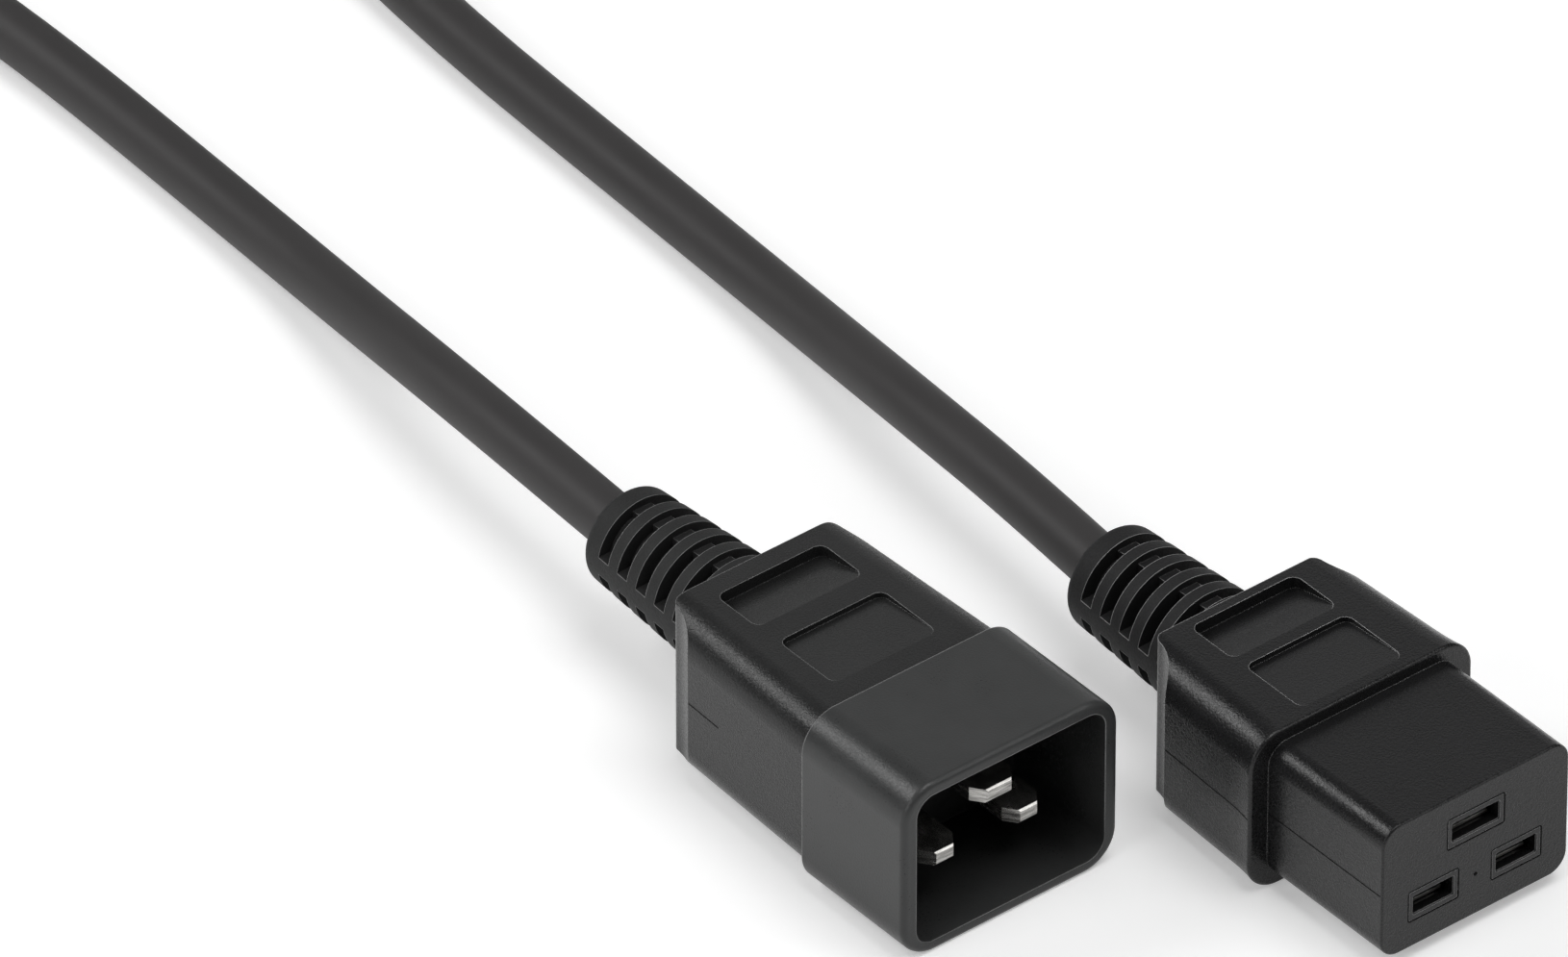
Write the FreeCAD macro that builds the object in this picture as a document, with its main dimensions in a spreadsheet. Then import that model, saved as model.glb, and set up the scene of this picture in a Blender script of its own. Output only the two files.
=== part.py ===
import FreeCAD, Part
import math
import os
import Sketcher

# Jumper lead of a data centre rack: a C19 connector (female) with its moulded-on cord, whose other
# end carries a C20 plug. Millimetres, +X along the connector towards the mating face, +Z up.
# The origin is the bottom centre of the C19 connector, which lies flat with its earth contact on top.

V = FreeCAD.Vector
doc = FreeCAD.newDocument("c19_power_lead")

# ----------------------------------------------------------------------------- driving dimensions

DIMENSIONS = [
    ("c19_length", 68.6, "C19 mating face to the end of its strain relief"),
    ("body_high", 23.2, "height of both overmouldings"),
    ("edge_round", 4.6, "rounding of the overmouldings' long edges"),
    ("corner_along", 6.2, "C19's scooped rear corner, along X"),
    ("corner_across", 3.3, "C19's scooped rear corner, along Y"),
    ("corner_round", 1.3, "rounding of both rear faces' upright edges"),
    ("nose_long", 21.2, "C19 nose, face to shoulder"),
    ("nose_wide", 29.2, "C19 nose width"),
    ("nose_high", 19.6, "C19 nose height"),
    ("nose_round", 2.8, "rounding of the nose's long edges"),
    ("body_long", 23.7, "C19 shoulder body"),
    ("rim_wide", 35.0, "C19 body width at its front rim"),
    ("waist_wide", 33.7, "C19 body width just behind the rim"),
    ("waist_back", 4.5, "distance of that waist behind the rim"),
    ("rear_wide", 32.0, "C19 body width at the rear"),
    ("rim_round", 0.4, "rounding of the C19 body's front rim"),
    ("nose_rim", 0.3, "rounding of the nose's face edge"),
    ("grip_rear", 1.4, "finger recess: its rear wall, ahead of the C19 body's rear face"),
    ("grip_long", 8.0, "finger recess length"),
    ("grip_wide", 16.4, "finger recess width"),
    ("grip_deep", 1.7, "finger recess depth at its rear wall"),
    ("panel_rear", 11.3, "shallow recess: its rear wall, ahead of the C19 body's rear face"),
    ("panel_long", 10.6, "shallow recess length"),
    ("panel_wide", 16.0, "shallow recess width"),
    ("panel_deep", 0.8, "shallow recess depth at its rear wall"),
    ("recess_round", 1.3, "corner rounding of both recesses, seen from above"),
    ("cord_rise", 0.8, "cord axis above the middle of the body's height"),
    ("relief_small", 14.2, "C19 strain relief diameter at the cord end"),
    ("relief_large", 16.9, "C19 strain relief diameter at the body"),
    ("relief_round", 1.3, "rounding of the strain relief's end"),
    ("slot_first", 4.4, "first slot's middle, from the strain relief's end"),
    ("slot_pitch", 3.85, "slot spacing"),
    ("slot_wide", 2.0, "slot width along X"),
    ("slot_count", 5, "slots along the strain relief"),
    ("web_half", 1.3, "half height of the side webs between upper and lower slots"),
    ("spine_half", 1.4, "half width of the spine between left and right slots"),
    ("spine_below", 1.0, "spine surface below the ribs"),
    ("relief_core", 10.2, "diameter of the tube that the slots leave round the cord"),
    ("cord_wide", 7.3, "cord diameter"),
    ("sheath_in", 17.0, "length of sheath inside each strain relief"),
    ("core_wide", 2.7, "insulated core diameter"),
    ("core_ring", 1.65, "distance of each core from the cord axis"),
    ("core_lead", 1.6, "straight length of core at each end"),
    ("strand_wide", 1.6, "bared copper diameter"),
    ("strand_long", 7.0, "bared copper length"),
    ("crimp_wide", 3.2, "crimp barrel outer diameter"),
    ("crimp_long", 6.0, "crimp barrel length"),
    ("crimp_floor", 0.6, "closed end of the crimp barrel"),
    ("pole_pitch", 13.0, "line to neutral spacing"),
    ("pole_low", 3.6, "line and neutral contacts below the middle"),
    ("earth_high", 4.4, "earth contact above the middle"),
    ("slot_high", 2.6, "height of the entry slots"),
    ("pole_slot", 6.2, "width of the line and neutral entry slots"),
    ("earth_slot", 7.3, "width of the earth entry slot"),
    ("tower_wall", 0.85, "tower wall beside the entry slot"),
    ("tower_roof", 1.0, "tower wall above and below the entry slot"),
    ("tower_lip", 1.4, "thickness of the lip that guides a pin in"),
    ("tower_bevel", 0.18, "bevel of the towers' and entry slots' edges in the mating face"),
    ("tower_long", 15.0, "towers, from the face to the carrier's plate"),
    ("plate_thick", 3.5, "carrier plate thickness"),
    ("plate_wide", 24.0, "carrier plate width"),
    ("plate_high", 15.6, "carrier plate height"),
    ("cavity_gain", 0.25, "contact cavity larger than the entry slot, each side"),
    ("sheet_gauge", 0.4, "contact sheet thickness"),
    ("contact_front", 0.6, "contact's flared mouth, behind the lip"),
    ("contact_mouth", 2.0, "gap of that mouth"),
    ("pinch_back", 2.8, "distance of the contact's pinch behind its mouth"),
    ("contact_pinch", 1.5, "gap where the contact grips the pin"),
    ("contact_play", 0.4, "contact narrower than its entry slot"),
    ("contact_rear", 0.3, "gap between the contact and its cavity's rear wall"),
    ("neck_wide", 2.4, "strip between contact and crimp barrel"),
    ("neck_long", 4.0, "length of that strip behind the carrier's plate"),
    ("plug_back", 37.1, "C20 mating face behind the C19 mating face"),
    ("plug_aside", 41.3, "C20 axis beside the C19 axis, towards -Y"),
    ("plug_length", 73.8, "C20 mating face to the end of its strain relief"),
    ("shroud_long", 19.2, "C20 shroud in front of the overmoulding"),
    ("shroud_wide", 33.3, "C20 shroud width"),
    ("shroud_high", 25.5, "C20 shroud height"),
    ("shroud_round", 5.0, "rounding of the shroud's long edges"),
    ("shroud_lip", 0.8, "rounding of the shroud's rim"),
    ("cavity_wide", 29.2, "C20 cavity width"),
    ("cavity_high", 22.2, "C20 cavity height"),
    ("cavity_round", 2.7, "rounding of the cavity's long edges"),
    ("cavity_deep", 17.0, "C20 cavity depth"),
    ("key_long", 5.0, "part of the shroud held in the overmoulding"),
    ("key_inset", 4.0, "that part smaller than the shroud, each side"),
    ("plug_front", 32.0, "C20 overmoulding width at the shroud"),
    ("plug_rear", 29.6, "C20 overmoulding width at the rear"),
    ("plug_body", 29.8, "C20 overmoulding length without strain relief"),
    ("plug_corner_along", 5.8, "C20's scooped rear corner, along X"),
    ("plug_corner_across", 2.2, "C20's scooped rear corner, along Y"),
    ("plug_relief_small", 13.4, "C20 strain relief diameter at the cord end"),
    ("plug_relief_large", 16.4, "C20 strain relief diameter at the body"),
    ("plug_grip", 3.0, "C20 finger recess: rear wall ahead of the rear face"),
    ("plug_panel", 14.7, "C20 shallow recess: rear wall ahead of the rear face"),
    ("pin_thick", 2.0, "pin thickness"),
    ("pole_pin", 5.4, "line and neutral pin width"),
    ("earth_pin", 6.5, "earth pin width"),
    ("tip_slope", 1.4, "pin tip narrower than the pin, each side"),
    ("tip_long", 1.9, "length of the pin's narrowing tip"),
    ("tip_bevel", 0.28, "bevel of the pin's tip, top and bottom"),
    ("pole_recess", 4.5, "line and neutral tips behind the shroud's mouth"),
    ("earth_recess", 2.2, "earth tip behind the shroud's mouth"),
    ("pin_tail", 3.0, "pin behind the shroud, up to its crimp barrel"),
    ("coil_x", -325.0, "coil centre, X"),
    ("coil_y", -6.25, "coil centre, Y"),
    ("coil_mean", 81.0, "diameter at the middle of the coil's turns"),
    ("coil_across", 3, "turns side by side in the coil"),
    ("coil_layers", 2, "layers of turns in the coil"),
    ("coil_stub", 30.0, "straight end of the cord beside the coil"),
    ("tie_thick", 1.0, "strap thickness"),
    ("tie_angle", 22.0, "width of each strap as an angle round the coil"),
    ("overlap", 1.0, "how far joined features reach into each other, and cutters past a face"),
]

# Route of each stretch of cord, from its strain relief down to the floor and along it to the coil
FROM_C19 = [
    V(-54, 2.0, 12.3),
    V(-76, 4.2, 10.9),
    V(-98, 8.6, 6.6),
    V(-121, 11.8, 3.9),
    V(-203, 15.7, 3.65),
]
FROM_C20 = [
    V(-96.5, -40.4, 13.4),
    V(-118, -38.1, 11.5),
    V(-140, -33.8, 6.9),
    V(-163, -30.6, 3.9),
    V(-231, -28.3, 3.65),
    V(-247.5, -33.2, 7.3),
]

# Where the cord meets and leaves the coil, in degrees round its axis, and its straight run there
ENTER_ANGLE = 77.8
LEAVE_ANGLE = 284.0
RUN_IN = 22.0

# Contacts of both connectors seen from the mating face: name, sideways place and height, then the
# width of the entry slot, or the width of the pin and the distance of its tip behind the mouth
POLES = [
    ("earth", "0", "earth_high", "earth_slot"),
    ("line", "pole_pitch / 2", "-pole_low", "pole_slot"),
    ("neutral", "-pole_pitch / 2", "-pole_low", "pole_slot"),
]
PINS = [
    ("earth", "0", "earth_high", "earth_pin", "earth_recess"),
    ("line", "pole_pitch / 2", "-pole_low", "pole_pin", "pole_recess"),
    ("neutral", "-pole_pitch / 2", "-pole_low", "pole_pin", "pole_recess"),
]

# Angle of each insulated core round the cord's axis
CORE_ANGLES = {"earth": 90, "line": -30, "neutral": 210}

sheet = doc.addObject("Spreadsheet::Sheet", "Dimensions")
for row, (alias, value, meaning) in enumerate(DIMENSIONS, start=1):
    sheet.set(f"A{row}", meaning)
    sheet.set(f"B{row}", str(value))
    sheet.setAlias(f"B{row}", alias)
doc.recompute()


def size(alias):
    """Present value of a cell of the sheet."""
    return float(getattr(sheet, alias))


def formula(text):
    """Formula on the sheet's cells, written with bare aliases."""
    words = {alias for alias, _, _ in DIMENSIONS}
    parts = []
    word = ""
    for letter in text + " ":
        if letter.isalnum() or letter == "_":
            word += letter
            continue
        parts.append("Dimensions." + word if word in words else word)
        parts.append(letter)
        word = ""
    return "".join(parts).strip()


ruler = doc.addObject("App::FeaturePython", "Ruler")
ruler.addProperty("App::PropertyFloat", "Reading", "Base", "value of the last formula looked up")


def worth(text):
    """Present value of a formula, for starting positions and for shapes made in code."""
    ruler.setExpression("Reading", formula(text))
    ruler.recompute()
    return ruler.Reading


def spot(seat, x, y, z):
    """Present place of a point given by formulas from a connector's mating face."""
    return V(*[worth(f"{base} + {extra}") for base, extra in zip(seat, (x, y, z))])


# Places of the two connectors: each is modelled with its mating face at X = 0 and its own middle
# at Y = Z = 0, and its sub-parts get one of these placements.
C19 = ("c19_length / 2", "0", "body_high / 2")
C20 = ("c19_length / 2 - plug_back", "-plug_aside", "shroud_high / 2")


# ------------------------------------------------------------------------------ sketches, features

def place(item, seat, shift=("0", "0", "0")):
    for letter, base, extra in zip("xyz", seat, shift):
        item.setExpression(f"Placement.Base.{letter}", formula(f"{base} + {extra}"))


def new_body(name, seat, shift=("0", "0", "0")):
    body = doc.addObject("PartDesign::Body", name)
    place(body, seat, shift)
    return body


def origin_feature(body, role):
    return next(item for item in body.Origin.OriginFeatures if item.Role == role)


def new_sketch(body, name, plane, out="0", right="0", up="0"):
    """Sketch on an origin plane; out moves it along the plane's normal, right and up within it."""
    sketch = body.newObject("Sketcher::SketchObject", name)
    sketch.AttachmentSupport = [(origin_feature(body, plane), "")]
    sketch.MapMode = "FlatFace"
    for letter, text in zip("xyz", (right, up, out)):
        sketch.setExpression(f"AttachmentOffset.Base.{letter}", formula(text))
    return sketch


def fix(sketch, kind, places, text):
    """Adds a dimension to a sketch and ties it to the sheet."""
    index = sketch.addConstraint(Sketcher.Constraint(kind, *places, worth(text)))
    sketch.setExpression(f"Constraints[{index}]", formula(text))


def polygon(body, name, plane, corners, out="0", right="0", up="0"):
    """Closed outline through corners, each a pair of formulas."""
    sketch = new_sketch(body, name, plane, out, right, up)
    count = len(corners)
    ring = [V(worth(across), worth(along), 0) for across, along in corners]
    for k in range(count):
        sketch.addGeometry(Part.LineSegment(ring[k], ring[(k + 1) % count]), False)
    for k in range(count):
        sketch.addConstraint(Sketcher.Constraint("Coincident", k, 2, (k + 1) % count, 1))
    for k, (across, along) in enumerate(corners):
        fix(sketch, "DistanceX", (-1, 1, k, 1), across)
        fix(sketch, "DistanceY", (-1, 1, k, 1), along)
    return sketch


def rounded_box(body, name, plane, wide, high, corner, out="0", right="0", up="0"):
    """Rounded rectangle centred on the sketch's origin."""
    sketch = new_sketch(body, name, plane, out, right, up)
    a, b, r = worth(wide) / 2, worth(high) / 2, worth(corner)
    starts = [V(-a + r, -b, 0), V(a, -b + r, 0), V(a - r, b, 0), V(-a, b - r, 0)]
    ends = [V(a - r, -b, 0), V(a, b - r, 0), V(-a + r, b, 0), V(-a, -b + r, 0)]
    middles = [V(a - r, -b + r, 0), V(a - r, b - r, 0), V(-a + r, b - r, 0), V(-a + r, -b + r, 0)]
    for k in range(4):
        sketch.addGeometry(Part.LineSegment(starts[k], ends[k]), False)
    for k in range(4):
        circle = Part.Circle(middles[k], V(0, 0, 1), r)
        first = math.radians(90 * k - 90)
        sketch.addGeometry(Part.ArcOfCircle(circle, first, first + math.pi / 2), False)
    for k in range(4):
        sketch.addConstraint(Sketcher.Constraint("Tangent", k, 2, 4 + k, 1))
        sketch.addConstraint(Sketcher.Constraint("Tangent", 4 + k, 2, (k + 1) % 4, 1))
    for k in range(2):
        sketch.addConstraint(Sketcher.Constraint("Horizontal", 2 * k))
        sketch.addConstraint(Sketcher.Constraint("Vertical", 2 * k + 1))
    for k in range(3):
        sketch.addConstraint(Sketcher.Constraint("Equal", 4 + k, 5 + k))
    sketch.addConstraint(Sketcher.Constraint("Symmetric", 3, 1, 1, 1, -1, 1))
    fix(sketch, "DistanceX", (3, 1, 1, 1), wide)
    fix(sketch, "DistanceY", (0, 1, 2, 2), high)
    fix(sketch, "Radius", (4,), corner)
    return sketch


def circle_sketch(body, name, plane, diameter, out="0", right="0", up="0"):
    sketch = new_sketch(body, name, plane, out, right, up)
    sketch.addGeometry(Part.Circle(V(0, 0, 0), V(0, 0, 1), worth(diameter) / 2), False)
    sketch.addConstraint(Sketcher.Constraint("Coincident", 0, 3, -1, 1))
    fix(sketch, "Diameter", (0,), diameter)
    return sketch


def extrude(body, kind, sketch, length, side="One side", back=False):
    """Pad or Pocket of a sketch; its effect on the volume is checked."""
    before = body.Tip.Shape.Volume if body.Tip else 0.0
    feature = body.newObject(f"PartDesign::{kind}", f"{sketch.Name}_{kind.lower()}")
    feature.Profile = sketch
    feature.SideType = side
    feature.Reversed = back
    feature.setExpression("Length", formula(length))
    doc.recompute()
    if feature.Shape.isNull():
        raise RuntimeError(f"{feature.Name} has no shape")
    gained = feature.Shape.Volume - before
    if (gained <= 0) == (kind == "Pad"):
        raise RuntimeError(f"{feature.Name} changed nothing")
    return feature


def in_plane(x):
    """Picks the edges that lie at x, from a body's own origin."""
    return lambda box: box.XLength < 0.01 and abs(box.XMin - worth(x)) < 0.01


def along_sides(box):
    """Picks the edges that run along a block's sides in its top and bottom faces."""
    return box.ZLength < 0.01 and box.XLength > 1


def round_off(body, name, picked, radius, kind="Fillet"):
    """Fillet or chamfer on the picked edges of the body so far."""
    base = body.Tip
    rounding = body.newObject(f"PartDesign::{kind}", name)
    edges = enumerate(base.Shape.Edges, start=1)
    rounding.Base = (base, [f"Edge{index}" for index, edge in edges if picked(edge.BoundBox)])
    rounding.setExpression("Radius" if kind == "Fillet" else "Size", formula(radius))
    doc.recompute()
    if not rounding.Shape.isValid():
        raise RuntimeError(f"{name} has no valid shape")
    return rounding


def named(item, node):
    item.Label = node
    NODES.append(item)
    return item


def drill(name, base, tools):
    """Base with the room that its inner pieces need cut out exactly."""
    room = doc.addObject("Part::MultiFuse", name + "_room")
    room.Shapes = tools
    cut = doc.addObject("Part::Cut", name)
    cut.Base = base
    cut.Tool = room
    return cut


NODES = []

# ------------------------------------------------------------------------------ overmouldings


def strain_relief(body, prefix, total, relief, small, large):
    """Tapered barrel with slots from above and below, side webs, a spine and a tube round the cord."""
    inside = f"overlap - {total} + {relief}"
    profile = polygon(body, prefix + "relief", "XZ_Plane", [
        (f"-{total}", f"{small} / 2"), (inside, f"{large} / 2"), (inside, "0"), (f"-{total}", "0"),
    ], up="cord_rise")
    barrel = body.newObject("PartDesign::Revolution", prefix + "relief_turned")
    barrel.Profile = profile
    barrel.ReferenceAxis = (profile, ["H_Axis"])
    barrel.Angle = 360.0
    doc.recompute()

    round_off(body, prefix + "relief_end", in_plane(f"-{total}"), "relief_round")

    sides = (("upper", "cord_rise + web_half", True), ("lower", "cord_rise - web_half", False))
    for name, out, back in sides:
        half = "slot_wide / 2"
        slot = polygon(body, f"{prefix}{name}_slot", "XY_Plane", [
            (f"-{half}", f"-{large}"), (half, f"-{large}"), (half, large), (f"-{half}", large),
        ], out=out, right=f"slot_first - {total}")
        pocket = extrude(body, "Pocket", slot, large, back=back)
        pattern = body.newObject("PartDesign::LinearPattern", f"{prefix}{name}_slots")
        pattern.Originals = [pocket]
        pattern.Direction = (slot, ["H_Axis"])
        pattern.setExpression("Length", formula("slot_pitch * (slot_count - 1)"))
        pattern.setExpression("Occurrences", formula("slot_count"))
        body.Tip = pattern
        doc.recompute()

    tube = circle_sketch(body, prefix + "relief_tube", "YZ_Plane", "relief_core",
                         out=f"slot_first / 2 - {total}", up="cord_rise")
    extrude(body, "Pad", tube, f"overlap + {relief} - slot_first / 2")
    collar = f"slot_first / 2 - {total}"
    spine = polygon(body, prefix + "spine", "XZ_Plane", [
        (collar, f"{small} / 2 - spine_below"), (inside, f"{large} / 2 - spine_below"),
        (inside, f"spine_below - {large} / 2"), (collar, f"spine_below - {small} / 2"),
    ], up="cord_rise")
    extrude(body, "Pad", spine, "2 * spine_half", side="Symmetric")


def ramped_recess(body, prefix, rear, long, wide, deep, side="1"):
    """Rounded recess in the top (side 1) or underside (side -1), its floor ramping up to the front."""
    under = side == "-1"
    outline = rounded_box(body, prefix, "XY_Plane", long, wide, "recess_round",
                          out=f"{side} * body_high / 2", right=f"{rear} + {long} / 2")
    extrude(body, "Pocket", outline, deep, back=under)
    ramp = polygon(body, prefix + "_ramp", "XZ_Plane", [
        (rear, f"{side} * (body_high / 2 - {deep})"),
        (f"{rear} + {long}", f"{side} * (body_high / 2 - {deep})"),
        (f"{rear} + {long}", f"{side} * body_high / 2"),
    ])
    extrude(body, "Pad", ramp, wide, side="Symmetric")


def scoop_corners(body, prefix, rear, half_wide, along, across):
    """Cuts both rear corners off along an upright cylinder that touches the corner's inner line."""
    radius = f"(({along}) ^ 2 + ({across}) ^ 2) / (2 * {across})"
    for name, sign in (("left", "1"), ("right", "-1")):
        scoop = circle_sketch(body, f"{prefix}{name}_corner", "XY_Plane", f"2 * {radius}", right=rear,
                              up=f"{sign} * ({half_wide} - {across} + {radius})")
        extrude(body, "Pocket", scoop, "2 * body_high", side="Symmetric")
    upright = in_plane(rear)
    round_off(body, prefix + "upright_edges", lambda box: upright(box) and box.YLength < 0.01, "corner_round")


def flared_outline(body, name, rear, waist, front):
    """Outline seen from above: straight sides from rear to waist, then arcs that flare to the front.

    Each of the three is a pair of formulas, its X and its half width.
    """
    sketch = new_sketch(body, name, "XY_Plane")
    ring = [(rear, "-"), (rear, ""), (waist, ""), (front, ""), (front, "-"), (waist, "-")]
    points = [V(worth(x), worth(f"{sign}({half})"), 0) for (x, half), sign in ring]
    side = (points[2] - points[1]).normalize()
    across = V(-side.y, side.x, 0)
    chord = points[3] - points[2]
    radius = chord.Length ** 2 / (2 * chord.dot(across))
    left = points[2] + across * radius
    right = V(left.x, -left.y, 0)
    bend = side.getAngle(chord) * 2
    start = math.atan2(-across.y, -across.x)
    for k in range(6):
        if k == 2:
            arc = Part.ArcOfCircle(Part.Circle(left, V(0, 0, 1), radius), start, start + bend)
            sketch.addGeometry(arc, False)
        elif k == 4:
            arc = Part.ArcOfCircle(Part.Circle(right, V(0, 0, 1), radius), -start - bend, -start)
            sketch.addGeometry(arc, False)
        else:
            sketch.addGeometry(Part.LineSegment(points[k], points[(k + 1) % 6]), False)
    for k in range(6):
        smooth = k in (1, 4)
        sketch.addConstraint(Sketcher.Constraint("Tangent" if smooth else "Coincident", k, 2, (k + 1) % 6, 1))
    for k, ((x, half), sign) in enumerate(ring):
        fix(sketch, "DistanceX", (-1, 1, k, 1), x)
        fix(sketch, "DistanceY", (-1, 1, k, 1), f"{sign}({half})")
    return sketch


def c19_overmoulding():
    """Nose, shoulder body and strain relief, before the inner pieces are cut out."""
    body = new_body("c19_overmoulding", C19)
    rear = "-nose_long - body_long"
    outline = flared_outline(body, "c19_shoulder", (rear, "rear_wide / 2"),
                             ("-nose_long - waist_back", "waist_wide / 2"), ("-nose_long", "rim_wide / 2"))
    extrude(body, "Pad", outline, "body_high", side="Symmetric")
    round_off(body, "c19_long_edges", along_sides, "edge_round")
    scoop_corners(body, "c19_", rear, "rear_wide / 2", "corner_along", "corner_across")
    round_off(body, "c19_rim", in_plane("-nose_long"), "rim_round")
    nose = rounded_box(body, "c19_nose", "YZ_Plane", "nose_wide", "nose_high", "nose_round",
                       out="-nose_long - overlap")
    extrude(body, "Pad", nose, "nose_long + overlap")
    round_off(body, "c19_face_edge", in_plane("0"), "nose_rim")
    strain_relief(body, "c19_", "c19_length", "(c19_length - nose_long - body_long)",
                  "relief_small", "relief_large")
    ramped_recess(body, "c19_grip", f"{rear} + grip_rear", "grip_long", "grip_wide", "grip_deep")
    ramped_recess(body, "c19_panel", f"{rear} + panel_rear", "panel_long", "panel_wide", "panel_deep")
    ramped_recess(body, "c19_under", f"{rear} + grip_rear", "grip_long", "grip_wide", "grip_deep", "-1")
    return body


def c20_overmoulding():
    """Body behind the shroud with its strain relief, before the inner pieces are cut out."""
    body = new_body("c20_overmoulding", C20)
    rear = "-shroud_long - plug_body"
    outline = polygon(body, "c20_shoulder", "XY_Plane", [
        (rear, "-plug_rear / 2"), ("-shroud_long", "-plug_front / 2"),
        ("-shroud_long", "plug_front / 2"), (rear, "plug_rear / 2"),
    ])
    extrude(body, "Pad", outline, "body_high", side="Symmetric")
    round_off(body, "c20_long_edges", along_sides, "edge_round")
    scoop_corners(body, "c20_", rear, "plug_rear / 2", "plug_corner_along", "plug_corner_across")
    strain_relief(body, "c20_", "plug_length", "(plug_length - shroud_long - plug_body)",
                  "plug_relief_small", "plug_relief_large")
    ramped_recess(body, "c20_grip", f"{rear} + plug_grip", "grip_long", "grip_wide", "grip_deep")
    ramped_recess(body, "c20_panel", f"{rear} + plug_panel", "panel_long", "panel_wide", "panel_deep")
    ramped_recess(body, "c20_under", f"{rear} + plug_grip", "grip_long", "grip_wide", "grip_deep", "-1")
    return body


# ------------------------------------------------------------------------------ C19 inner pieces

def contact_carrier(name, hollow):
    """Plate with three towers that end flush in the mating face, each with a lip and a cavity."""
    body = new_body(name, C19)
    plate = rounded_box(body, name + "_plate", "YZ_Plane", "plate_wide", "plate_high", "nose_round / 2",
                        out="-tower_long - plate_thick")
    extrude(body, "Pad", plate, "plate_thick")
    for pole, aside, high, slot in POLES:
        tower = rounded_box(body, f"{name}_{pole}_tower", "YZ_Plane", f"{slot} + 2 * tower_wall",
                            "slot_high + 2 * tower_roof", "tower_wall / 3",
                            out="-tower_long - plate_thick / 2", right=aside, up=high)
        extrude(body, "Pad", tower, "tower_long + plate_thick / 2")
    if not hollow:
        return body
    for pole, aside, high, slot in POLES:
        mouth = rounded_box(body, pole + "_mouth", "YZ_Plane", slot, "slot_high", "tower_wall / 4",
                            right=aside, up=high)
        extrude(body, "Pocket", mouth, "tower_lip + overlap")
        cavity = rounded_box(body, pole + "_cavity", "YZ_Plane", f"{slot} + 2 * cavity_gain",
                             "slot_high + 2 * cavity_gain", "tower_wall / 4",
                             out="-tower_lip", right=aside, up=high)
        extrude(body, "Pocket", cavity, "tower_long - tower_lip")
    round_off(body, name + "_face", in_plane("0"), "tower_bevel", kind="Chamfer")
    return body


def receptacle(pole, aside, high, slot):
    """Strip folded back on itself: flared mouth, pinch, closed rear, then a neck and a crimp barrel."""
    body = new_body("c19_contact_" + pole, C19, ("0", aside, high))
    front = "-tower_lip - contact_front"
    pinch = f"{front} - pinch_back"
    back = "-tower_long + contact_rear"
    half_mouth = "contact_mouth / 2"
    half_pinch = "contact_pinch / 2"
    half_back = "pin_thick / 2"
    outer = [
        (front, f"{half_mouth} + sheet_gauge"),
        (pinch, f"{half_pinch} + sheet_gauge"),
        (back, f"{half_back} + sheet_gauge"),
    ]
    inner = [
        (f"{back} + sheet_gauge", half_back),
        (pinch, half_pinch),
        (front, half_mouth),
    ]
    outline = outer + [(x, f"-({z})") for x, z in reversed(outer)]
    outline += [(x, f"-({z})") for x, z in reversed(inner)] + inner
    fold = polygon(body, pole + "_fold", "XZ_Plane", outline)
    extrude(body, "Pad", fold, f"{slot} - contact_play", side="Symmetric")
    neck_end = "(tower_long + plate_thick + neck_long)"
    neck = polygon(body, pole + "_neck", "XZ_Plane", [
        (f"{back} + sheet_gauge / 2", "sheet_gauge"), (f"{back} + sheet_gauge / 2", "-sheet_gauge"),
        (f"-{neck_end} - crimp_floor", "-sheet_gauge"), (f"-{neck_end} - crimp_floor", "sheet_gauge"),
    ])
    extrude(body, "Pad", neck, "neck_wide", side="Symmetric")
    barrel = circle_sketch(body, pole + "_barrel", "YZ_Plane", "crimp_wide", out=f"-{neck_end} - crimp_long")
    extrude(body, "Pad", barrel, "crimp_long")
    bore = circle_sketch(body, pole + "_bore", "YZ_Plane", "strand_wide", out=f"-{neck_end} - crimp_long")
    extrude(body, "Pocket", bore, "crimp_long - crimp_floor", back=True)
    return body


# ------------------------------------------------------------------------------ C20 inner pieces

def shroud():
    """Shroud and pin carrier in one: mouth, cavity, back wall and the key held by the overmoulding."""
    body = new_body("c20_shroud_body", C20)
    outside = rounded_box(body, "shroud_outside", "YZ_Plane", "shroud_wide", "shroud_high", "shroud_round",
                          out="-shroud_long")
    extrude(body, "Pad", outside, "shroud_long")
    round_off(body, "shroud_rim", in_plane("0"), "shroud_lip")
    cavity = rounded_box(body, "shroud_cavity", "YZ_Plane", "cavity_wide", "cavity_high", "cavity_round")
    extrude(body, "Pocket", cavity, "cavity_deep")
    key = rounded_box(body, "shroud_key", "YZ_Plane", "shroud_wide - 2 * key_inset",
                      "shroud_high - 2 * key_inset", "shroud_round / 2", out="-shroud_long - key_long")
    extrude(body, "Pad", key, "key_long + (shroud_long - cavity_deep) / 2")
    return body


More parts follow.
